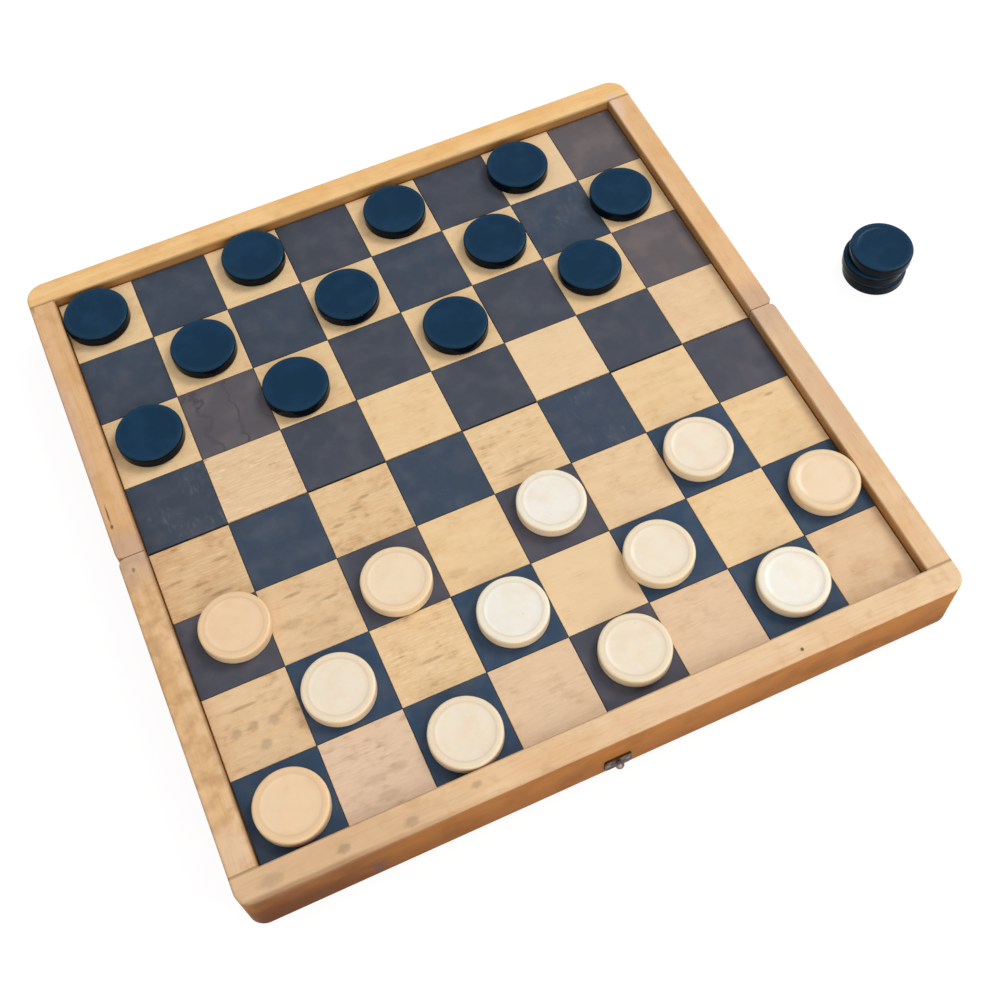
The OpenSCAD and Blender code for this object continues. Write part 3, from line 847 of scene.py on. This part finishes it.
class LightKind(Enum):
    """What a light square shows: how lined, blotched, rosy, pale and tan it is, from 0 to 1."""

    CREAM = (0.25, 0.2, 0.0, 0.4, 0.0)
    GOLDEN = (0.15, 0.3, 0.0, 0.35, 0.0)
    PALE = (0.15, 0.1, 0.2, 0.9, 0.0)
    PEACH = (0.3, 0.35, 0.3, 0.3, 0.05)
    ROSY = (0.35, 0.4, 0.7, 0.2, 0.15)
    PINKISH = (0.35, 0.9, 1.0, 0.2, 0.1)
    LINED = (0.75, 0.35, 0.1, 0.25, 0.1)
    STREAKED = (1.0, 0.1, 0.35, 0.7, 0.3)
    DASHED = (0.6, 0.9, 0.1, 0.0, 0.35)
    GREYED = (1.0, 0.8, 0.2, 0.0, 0.9)
    BLOTCHED = (0.35, 1.0, 0.3, 0.2, 0.35)
    TANNED = (0.2, 0.4, 0.5, 0.0, 0.5)


class DarkKind(Enum):
    """What a dark square shows: how cracked, scuffed, navy, violet and brown it is, from 0 to 1."""

    SLATE = (0.0, 0.15, 0.0, 0.25, 0.05)
    INKY = (0.0, 0.15, 0.25, 0.0, 0.0)
    STEEL = (0.0, 0.15, 0.5, 0.0, 0.0)
    NAVY = (0.0, 0.1, 1.0, 0.0, 0.0)
    VIOLET = (0.0, 0.15, 0.1, 0.9, 0.15)
    SCUFFED = (0.0, 1.0, 0.15, 0.0, 0.0)
    SCRATCHED = (0.0, 0.6, 0.5, 0.1, 0.0)
    CRACKED = (1.0, 0.2, 0.0, 0.3, 0.7)
    BROWNED = (0.0, 0.35, 0.0, 0.2, 1.0)


@dataclass
class PlayingSurface:
    """The 64 squares, which lie glued on the two boards between the rails."""

    effects: Effects
    square_w: float = 0.0307
    square_l: float = 0.0311
    edge_square_w: float = 0.0298
    fold_square_l: float = 0.0297
    grid_shift: float = 0.0007
    thickness: float = 0.0016
    joint: float = 0.0002
    edge_gap: float = 0.0004
    fold_y: float = 0.0002
    softened: float = 0.00022
    uneven: float = 0.00006
    smudge_reach: Point = (0.0028, 0.0026, 0.002)
    blot_reach: Point = (0.0058, 0.0024, 0.002)
    line_reach: tuple[float, float] = (0.0009, 0.002)
    columns: int = 8
    rows: int = 4
    seed: int = 64

    def kind_of(self, half: str, column: int, row: int) -> LightKind | DarkKind:
        """Looks up what a square shows.

        Args:
            half: The half of the board, front or back.
            column: The square's column, counted from 0 at the left.
            row: Its row, counted from 0 at the fold.

        Returns:
            The kind of veneer.
        """
        known = {
            "front": {
                LightKind.GREYED: ((0, 0),),
                LightKind.DASHED: ((2, 0),),
                LightKind.LINED: ((4, 0), (2, 2)),
                LightKind.GOLDEN: ((6, 0), (3, 1), (7, 1)),
                LightKind.BLOTCHED: ((1, 1), (0, 2)),
                LightKind.PEACH: ((5, 1),),
                LightKind.PALE: ((4, 2),),
                LightKind.PINKISH: ((1, 3),),
                LightKind.ROSY: ((3, 3), (5, 3)),
                LightKind.TANNED: ((7, 3),),
                DarkKind.VIOLET: ((0, 1), (2, 1), (4, 1), (7, 0), (4, 3)),
                DarkKind.SCRATCHED: ((5, 0),),
                DarkKind.STEEL: ((1, 0), (3, 0)),
            },
            "back": {
                LightKind.PEACH: ((7, 0),),
                LightKind.PALE: ((6, 3), (5, 0)),
                LightKind.STREAKED: ((1, 0),),
                DarkKind.SCRATCHED: ((6, 2),),
                DarkKind.INKY: ((0, 2), (1, 3), (2, 2), (4, 2)),
                DarkKind.SCUFFED: ((0, 0),),
                DarkKind.CRACKED: ((1, 1),),
                DarkKind.BROWNED: ((7, 1), (7, 3)),
            },
        }
        for kind, squares in known[half].items():
            if (column, row) in squares:
                return kind
        light = (half == "front") == ((column + row) % 2 == 0)
        return LightKind.CREAM if light else DarkKind.NAVY if half == "front" else DarkKind.SLATE

    def smudges(self) -> tuple[Mark, ...]:
        """Lists the smudges, spots and stains on the light squares.

        Returns:
            The marks.
        """
        grey, line = paint(158, 130, 104), paint(134, 90, 56)
        spot, stain = paint(84, 56, 40), paint(176, 126, 88)
        round_ones = ((-0.1013, -0.0774), (-0.1084, -0.0769), (-0.1144, -0.0771), (-0.1062, -0.0845))
        blots = ((-0.0780, -0.1110), (-0.0700, -0.1100), (-0.0760, -0.1176), (-0.0837, -0.0472),
                 (-0.0716, -0.0514), (-0.0244, -0.0536))
        lines = ((0.0150, -0.0232, 0.0130), (0.0110, -0.0246, 0.0060), (-0.0430, -0.0105, 0.0032),
                 (-0.0475, -0.0140, 0.0040), (-0.0555, -0.0178, 0.0036), (-0.1166, -0.0150, 0.0048),
                 (-0.1020, -0.0250, 0.0060), (-0.0987, -0.0122, 0.0044), (-0.1080, -0.0190, 0.0050),
                 (-0.0800, -0.0368, 0.0046), (-0.0680, -0.0430, 0.0040), (0.1112, -0.0342, 0.0026),
                 (-0.1090, -0.0690, 0.0070), (-0.0450, -0.0800, 0.0064))
        marks = [Mark((x, y, SURFACE_Z), self.smudge_reach, grey, 0.42) for x, y in round_ones]
        marks += [Mark((x, y, SURFACE_Z), self.blot_reach, line, 0.2) for x, y in blots]
        marks += [Mark((x, y, SURFACE_Z), (reach, *self.line_reach), line, 0.42) for x, y, reach in lines]
        marks.append(Mark((0.0888, -0.0610, SURFACE_Z), (0.0008, 0.0008, 0.001), spot, 0.8))
        marks.append(Mark((0.1165, -0.1180, SURFACE_Z), (0.0060, 0.0050, 0.004), stain, 0.45))
        return tuple(marks)

    def line_x(self, column: int) -> float:
        """Finds the left border of a column.

        Args:
            column: The column, counted from 0 at the left. The count of columns gives the last border.

        Returns:
            The border's place along X.
        """
        if column in (0, self.columns):
            side = self.edge_square_w + (self.columns / 2 - 1) * self.square_w
            return BOARD_X + (side if column else -side)
        return BOARD_X + self.grid_shift + (column - self.columns / 2) * self.square_w

    def line_y(self, row: int) -> float:
        """Finds the border of a row on the side of the fold, as a distance from the fold."""
        return self.fold_y if row == 0 else self.fold_y + self.fold_square_l + (row - 1) * self.square_l

    def add_square(self, mesh: BMesh, half: str, column: int, row: int, dice: random.Random) -> None:
        """Adds one square with softened edges to a mesh.

        Args:
            mesh: The mesh that collects a half's squares of one colour.
            half: The half of the board, front or back.
            column: The square's column, counted from 0 at the left.
            row: Its row, counted from 0 at the fold.
            dice: The source of its slight unevenness.
        """
        left = self.line_x(column) + (self.edge_gap if column == 0 else self.joint / 2)
        right = self.line_x(column + 1) - (self.edge_gap if column == self.columns - 1 else self.joint / 2)
        near = self.line_y(row) + (self.edge_gap - self.fold_y if row == 0 else self.joint / 2)
        far = self.line_y(row + 1) - (self.edge_gap if row == self.rows - 1 else self.joint / 2)
        if half == "front":
            near, far = -far, -near
        middle = Vector(((left + right) / 2, (near + far) / 2, SURFACE_Z - self.thickness / 2))
        size = Matrix.Diagonal((right - left, far - near, self.thickness, 1))
        made = bmesh.ops.create_cube(mesh, size=1, matrix=Matrix.Translation(middle) @ size)["verts"]
        upper = [vert for vert in made if vert.co.z > middle.z]
        for vert in upper:
            vert.co.z -= dice.uniform(0, self.uneven)
        edges = dict.fromkeys(edge for vert in upper for edge in vert.link_edges
                              if edge.other_vert(vert) in upper)
        bmesh.ops.bevel(mesh, geom=list(edges), offset=self.softened, segments=2, profile=0.5,
                        affect="EDGES", material=-1)
        lined, blotched, *shades = self.kind_of(half, column, row).value
        own = mesh.verts.layers.float_vector["square"]
        tone = mesh.verts.layers.float_vector["tone"]
        seed = dice.random()
        for vert in mesh.verts:
            if left - self.joint / 4 < vert.co.x < right + self.joint / 4 and \
                    near - self.joint / 4 < vert.co.y < far + self.joint / 4:
                vert[own] = Vector((seed, lined, blotched))
                vert[tone] = Vector(shades)

    def build(self) -> None:
        """Builds the squares of both halves, and dresses the boards under them."""
        looks = {"dark": DarkVeneer("dark_veneer", self.effects).make(),
                 "light": LightVeneer("light_veneer", self.effects, marks=self.smudges()).make()}
        dice = random.Random(self.seed)
        for half in HALVES:
            for colour in ("dark", "light"):
                start = int((half == "front") == (colour == "dark"))
                mesh = bmesh.new()
                mesh.verts.layers.float_vector.new("square")
                mesh.verts.layers.float_vector.new("tone")
                for column in range(self.columns):
                    for row in range(self.rows):
                        if (column + row) % 2 == start:
                            self.add_square(mesh, half, column, row, dice)
                add_piece(f"{half}_{colour}_veneer", mesh, looks[colour], f"{half}_half",
                          (f"{half}_{colour}_squares",))
        ply = PlainWood("birch_ply", self.effects, 0.31, pale=paint(206, 170, 124),
                        dark=paint(172, 128, 82)).make()
        for half in HALVES:
            dress(f"{half}_play_board", ply)


@dataclass
class Trays:
    """The wooden rails of the two trays, with the dowels in their corners."""

    effects: Effects

    def fold_grey(self, side: int, half: int) -> Mark:
        """Makes the greyish place beside the fold on the side rail of one side and half, each -1 or 1."""
        return Mark((side * 0.127, half * 0.0002, TOP_Z), (0.016, 0.016, 0.008), paint(194, 162, 144), 0.55)

    def marks(self) -> dict[str, tuple[Mark, ...]]:
        """Lists the knots, dents, stains and worn places in the rails, and the painted shade at the left end
        of the front face.

        Returns:
            The marks of each rail, by its name.
        """
        dark, knot, stain = paint(92, 62, 44), paint(108, 78, 74), paint(102, 52, 12)
        grey, filler, pinkish = paint(164, 138, 110), paint(232, 198, 176), paint(206, 168, 152)
        worn, fawn = paint(238, 206, 176), paint(214, 180, 148)
        return {
            "front_end_rail": (
                Mark((-0.108, -0.131, TOP_Z), (0.075, 0.014, 0.004), paint(212, 174, 136), 0.55),
                # Painted shade: the front face is drawn darker towards its left end.
                Mark((-0.132, -0.137, 0.008), (0.170, 0.008, 0.040), paint(150, 90, 34), 0.6),
                Mark((-0.130, -0.137, 0.010), (0.080, 0.008, 0.040), stain, 0.9),
                Mark((-0.0726, -0.1302, TOP_Z), (0.0036, 0.0024, 0.002), grey, 0.5),
                Mark((-0.0490, -0.1278, TOP_Z), (0.0026, 0.0016, 0.002), grey, 0.5),
                Mark((-0.1195, -0.1290, TOP_Z), (0.0060, 0.0030, 0.002), grey, 0.4),
                Mark((0.0320, -0.1300, TOP_Z), (0.0500, 0.0060, 0.004), worn, 0.35),
                Mark((0.0685, -0.1308, TOP_Z), (0.0009, 0.0009, 0.001), dark, 0.9),
                Mark((-0.0953, -0.1292, TOP_Z), (0.0032, 0.0022, 0.002), grey, 0.6),
                Mark((-0.0873, -0.1337, 0.0085), (0.0032, 0.004, 0.009), knot, 0.65)),
            "front_left_rail": (
                self.fold_grey(-1, -1),
                Mark((-0.1275, -0.115, TOP_Z), (0.007, 0.011, 0.004), worn, 0.6),
                Mark((-0.1276, -0.006, TOP_Z), (0.0008, 0.0013, 0.001), dark, 0.6)),
            "front_right_rail": (
                self.fold_grey(1, -1),
                Mark((0.128, -0.040, TOP_Z), (0.010, 0.045, 0.004), fawn, 0.5)),
            "back_end_rail": (
                Mark((0.1243, 0.1246, TOP_Z), (0.0032, 0.0026, 0.002), filler, 0.8),),
            "back_left_rail": (
                self.fold_grey(-1, 1),
                Mark((-0.1306, 0.06, TOP_Z), (0.0028, 0.05, 0.004), pinkish, 0.4),
                Mark((-0.1297, 0.0195, TOP_Z), (0.0005, 0.0058, 0.001), dark, 0.75),
                Mark((-0.1297, 0.0140, TOP_Z), (0.0008, 0.0013, 0.001), dark, 0.8),
                Mark((-0.1307, 0.1225, TOP_Z), (0.0009, 0.0040, 0.001), dark, 0.4)),
            "back_right_rail": (
                self.fold_grey(1, 1),
                Mark((0.1243, 0.1185, TOP_Z), (0.0032, 0.0085, 0.002), filler, 0.8)),
        }

    def build(self) -> None:
        """Dresses the rails and the dowels."""
        woods = (("front_end_rail", 0.11, 0.34, paint(240, 206, 166), paint(232, 190, 144)),
                 ("front_left_rail", 0.23, 0.6, paint(236, 197, 152), paint(222, 177, 125)),
                 ("front_right_rail", 0.37, 0.3, paint(238, 202, 162), paint(230, 186, 140)),
                 ("back_end_rail", 0.53, 0.26, paint(248, 205, 146), paint(239, 186, 119)),
                 ("back_left_rail", 0.61, 0.36, paint(232, 188, 142), paint(220, 172, 118)),
                 ("back_right_rail", 0.79, 0.24, paint(236, 195, 150), paint(228, 180, 128)))
        marks = self.marks()
        for node, seed, blotch_share, pale, warm in woods:
            wood = RailWood(node, self.effects, seed, blotch_share, pale, warm, marks[node])
            dress(node, wood.make())
        hidden = PlainWood("hidden_rail_wood", self.effects, 0.47, pale=paint(212, 168, 116),
                           dark=paint(184, 132, 80)).make()
        dowel = PlainWood("dowel_wood", self.effects, 0.83, pale=paint(200, 154, 102),
                          dark=paint(170, 120, 72), along_x=False).make()
        for half in HALVES:
            dress(f"{half}_fold_rail", hidden)
            dress(f"{half}_corner_dowels", dowel)


@dataclass
class Hardware:
    """The two hinges under the fold, and the hook and catch on the end rails."""

    effects: Effects

    def build(self) -> None:
        """Dresses the hinges, the screws, the hook and the catch."""
        brass = OldMetal("old_brass", self.effects, bright=paint(90, 66, 52), dull=paint(56, 40, 32),
                         rust=paint(44, 26, 18)).make()
        steel = OldMetal("old_steel", self.effects, bright=paint(138, 126, 124), dull=paint(104, 92, 92),
                         rust=paint(74, 50, 40)).make()
        for node in ("left_hinge_front_leaf", "right_hinge_front_leaf", "left_hinge_back_leaf",
                     "right_hinge_back_leaf", "catch_plate", "hook_plate", "latch_hook"):
            dress(node, brass)
        for node in ("left_hinge_pin", "right_hinge_pin", "front_hinge_screws", "back_hinge_screws",
                     "catch_plate_nails", "hook_plate_nails", "catch_stud", "hook_rivet"):
            dress(node, steel)


@dataclass
class Checkers:
    """The turned pieces: twelve black and twelve ivory ones on the board, and three spare black ones."""

    effects: Effects
    diameter: float = 0.0254
    thickness: float = 0.0052
    edge_r: float = 0.0009
    rim_w: float = 0.0024
    black_dish: float = 0.00015
    ivory_dish: float = 0.00025
    slope: float = 0.0013
    slope_r: float = 0.0006
    crisp: float = 0.0001
    turns: int = 96
    spares: int = 3
    seed: int = 27

    def profile(self, dish: float) -> list[tuple[float, float]]:
        """Draws half of a checker's outline, from the middle of its foot to the middle of its face.

        Args:
            dish: How far its middle lies below the rim.

        Returns:
            The corners of the outline, as distance from the middle and height.
        """
        radius, top = self.diameter / 2, self.thickness
        rim, soft, edge = radius - self.rim_w, self.slope_r + self.crisp, self.edge_r + self.crisp
        lower = [(0.0, dish), (rim - self.slope - soft, dish), (rim - self.slope, dish), (rim, 0.0),
                 (rim + soft, 0.0), (radius - edge, 0.0), (radius, 0.0), (radius, edge)]
        return lower + [(r, top - z) for r, z in reversed(lower)]

    def rings(self, mesh: BMesh, radius: float) -> list[BMEdge]:
        """Finds the level edges of a checker's two faces that lie at one distance from its middle.

        Args:
            mesh: The checker, standing on the origin.
            radius: The distance.

        Returns:
            The edges.
        """
        slack = self.slope / 8
        return [edge for edge in mesh.edges
                if all(abs(vert.co.xy.length - radius) < slack for vert in edge.verts)
                and abs(edge.verts[0].co.z - edge.verts[1].co.z) < slack
                and min(edge.verts[0].co.z, self.thickness - edge.verts[0].co.z) < self.edge_r / 2]

    def turned(self, dish: float) -> BMesh:
        """Turns one checker about its own middle.

        Args:
            dish: How far its middle lies below the rim.

        Returns:
            The mesh of a checker that stands on the origin.
        """
        mesh = bmesh.new()
        corners = [mesh.verts.new((r, 0, z)) for r, z in self.profile(dish)]
        lines = [mesh.edges.new(pair) for pair in zip(corners, corners[1:])]
        bmesh.ops.spin(mesh, geom=corners + lines, cent=(0, 0, 0), axis=(0, 0, 1), angle=math.tau,
                       steps=self.turns, use_merge=True)
        bmesh.ops.remove_doubles(mesh, verts=mesh.verts, dist=self.slope / 100)
        bmesh.ops.recalc_face_normals(mesh, faces=mesh.faces)
        rim = self.diameter / 2 - self.rim_w
        for radius, offset, segments in ((self.diameter / 2, self.edge_r, 6), (rim, self.slope_r, 3),
                                         (rim - self.slope, self.slope_r, 3)):
            bmesh.ops.bevel(mesh, geom=self.rings(mesh, radius), offset=offset, segments=segments,
                            profile=0.5, affect="EDGES", material=-1)
        own = mesh.loops.layers.uv.new("disc")
        for face in mesh.faces:
            face.smooth = True
            for loop in face.loops:
                loop[own].uv = loop.vert.co.xy / self.diameter + Vector((0.5, 0.5))
        return mesh

    def place(self, name: str, node: str, look: Material, turn: float) -> None:
        """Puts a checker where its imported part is.

        Args:
            name: The new piece's name.
            node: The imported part, which is also the name of its body.
            look: Its material.
            turn: How far it is turned about its middle, in radians.
        """
        low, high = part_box(node)
        foot = Vector(((low.x + high.x) / 2, (low.y + high.y) / 2, low.z))
        ivory = node.startswith("white")
        mesh = self.turned(self.ivory_dish if ivory else self.black_dish)
        mesh.transform(Matrix.Translation(foot) @ Matrix.Rotation(turn, 4, "Z"))
        add_piece(name, mesh, look, node, (node,))

    def build(self) -> None:
        """Builds all the checkers."""
        dice = random.Random(self.seed)
        black = BlackPieceGloss("black_piece_gloss", self.effects).make()
        ivory = {tint: IvoryPieceGloss(f"ivory_{tint.name.lower()}", self.effects, tint).make()
                 for tint in IvoryTint}
        tints = (IvoryTint.HONEY, IvoryTint.CREAM, IvoryTint.BONE, IvoryTint.SHELL,
                 IvoryTint.SHELL, IvoryTint.BONE, IvoryTint.SHELL, IvoryTint.BUFF,
                 IvoryTint.HONEY, IvoryTint.SHELL, IvoryTint.SHELL, IvoryTint.BONE)
        pieces = []
        for number, tint in enumerate(tints, 1):
            pieces += [(f"black_piece_{number}", f"black_checker_{number}", black),
                       (f"ivory_piece_{number}", f"white_checker_{number}", ivory[tint])]
        pieces += [(f"spare_piece_{number}", f"spare_checker_{number}", black)
                   for number in range(1, self.spares + 1)]
        for name, node, look in pieces:
            self.place(name, node, look, dice.uniform(0, math.tau))


@dataclass(frozen=True)
class SoftLamp:
    """A square lamp that points at the board."""

    name: str
    azimuth: float
    elevation: float
    distance: float
    size: float
    power: float

    def hang(self, aim: Vector) -> None:
        """Puts the lamp in its place.

        Args:
            aim: The point that it lights.
        """
        lamp = bpy.data.lights.new(self.name, "AREA")
        lamp.shape = "SQUARE"
        lamp.size = self.size
        lamp.energy = self.power
        held = put(self.name, lamp)
        azimuth, elevation = math.radians(self.azimuth), math.radians(self.elevation)
        out = Vector((math.cos(azimuth) * math.cos(elevation), math.sin(azimuth) * math.cos(elevation),
                      math.sin(elevation)))
        held.location = aim + out * self.distance
        held.rotation_euler = out.to_track_quat("Z", "Y").to_euler()


@dataclass
class Studio:
    """The white floor, the lamps, the pale surroundings and the camera."""

    WHITE = paint(255, 255, 255)

    eye: Point = (BOARD_X - 0.08538, -0.26558, 0.45908)
    aim: Point = (BOARD_X + 0.00087, -0.03161, SURFACE_Z)
    roll: float = math.radians(-4.409)
    lens: float = 50.324
    sensor: float = 36.0
    floor_size: float = 8.0
    floor_bounce: float = 0.5
    floor_shade: float = 0.2
    floor_glow: float = 0.885
    sky: float = 0.5

    def seen(self, g: Graph) -> NodeSocket:
        """Tells the rays that see the background from those that only light the object.

        Args:
            g: The graph of the floor's or the surroundings' look.

        Returns:
            1 for a ray that comes straight from the camera or by way of a mirror, and 0 for others.
        """
        rays = g.add("LightPath").outputs
        mirror = g.math("MAXIMUM", rays["Is Glossy Ray"], rays["Is Transmission Ray"])
        return g.math("MAXIMUM", rays["Is Camera Ray"], mirror)

    def lay_floor(self) -> None:
        """Lays the white floor, which keeps the object's shadow."""
        material = bpy.data.materials.new("studio_floor")
        material.use_nodes = True
        g = Graph(material.node_tree)
        seen = self.seen(g)
        shade = g.mix(seen, (*[self.floor_bounce] * 3, 1.0), (*[self.floor_shade] * 3, 1.0))
        paper = g.add("BsdfDiffuse", {"Color": shade})
        lift = g.add("Emission", {"Color": self.WHITE, "Strength": g.times(seen, self.floor_glow)})
        both = g.add("AddShader", {0: paper.outputs[0], 1: lift.outputs[0]})
        g.add("OutputMaterial", {"Surface": both.outputs[0]})
        mesh = bmesh.new()
        bmesh.ops.create_grid(mesh, x_segments=1, y_segments=1, size=self.floor_size / 2)
        floor = put_mesh("studio_floor", mesh, material)

    def light(self) -> None:
        """Sets the surroundings and hangs the lamps."""
        world = bpy.data.worlds.new("studio")
        bpy.context.scene.world = world
        world.use_nodes = True
        g = Graph(world.node_tree)
        strength = g.plus(self.sky, g.times(self.seen(g), 1 - self.sky))
        ground = g.add("Background", {"Color": self.WHITE, "Strength": strength})
        g.add("OutputWorld", {"Surface": ground.outputs[0]})
        middle = Vector((BOARD_X, 0, SURFACE_Z))
        lamps = (SoftLamp("window", azimuth=16, elevation=50, distance=3.0, size=1.2, power=37.0),
                 SoftLamp("fill", azimuth=-97, elevation=24, distance=3.0, size=1.8, power=29.0),
                 SoftLamp("glint", azimuth=-62, elevation=38, distance=1.2, size=0.065, power=0.9))
        for lamp in lamps:
            lamp.hang(middle)

    def set_camera(self) -> None:
        """Stands the camera where the photograph was taken from."""
        camera = bpy.data.cameras.new("camera")
        camera.lens = self.lens
        camera.sensor_width = self.sensor
        held = put("camera", camera)
        held.location = self.eye
        look = (Vector(self.aim) - Vector(self.eye)).to_track_quat("-Z", "Y")
        held.rotation_euler = (look @ Quaternion((0, 0, 1), self.roll)).to_euler()
        bpy.context.scene.camera = held

    def build(self) -> None:
        """Builds the whole studio."""
        bpy.context.scene.view_settings.view_transform = "Standard"
        self.set_camera()
        self.lay_floor()
        self.light()
        log.info("set up the studio")


def main() -> None:
    """Builds the board, its pieces and the studio, in order."""
    logging.basicConfig(level=logging.INFO, format="%(name)s: %(message)s")
    effects = Effects()
    assemblies = (Trays(effects), PlayingSurface(effects), Hardware(effects), Checkers(effects), Studio())
    for assembly in assemblies:
        assembly.build()


if __name__ == "__main__":
    main()
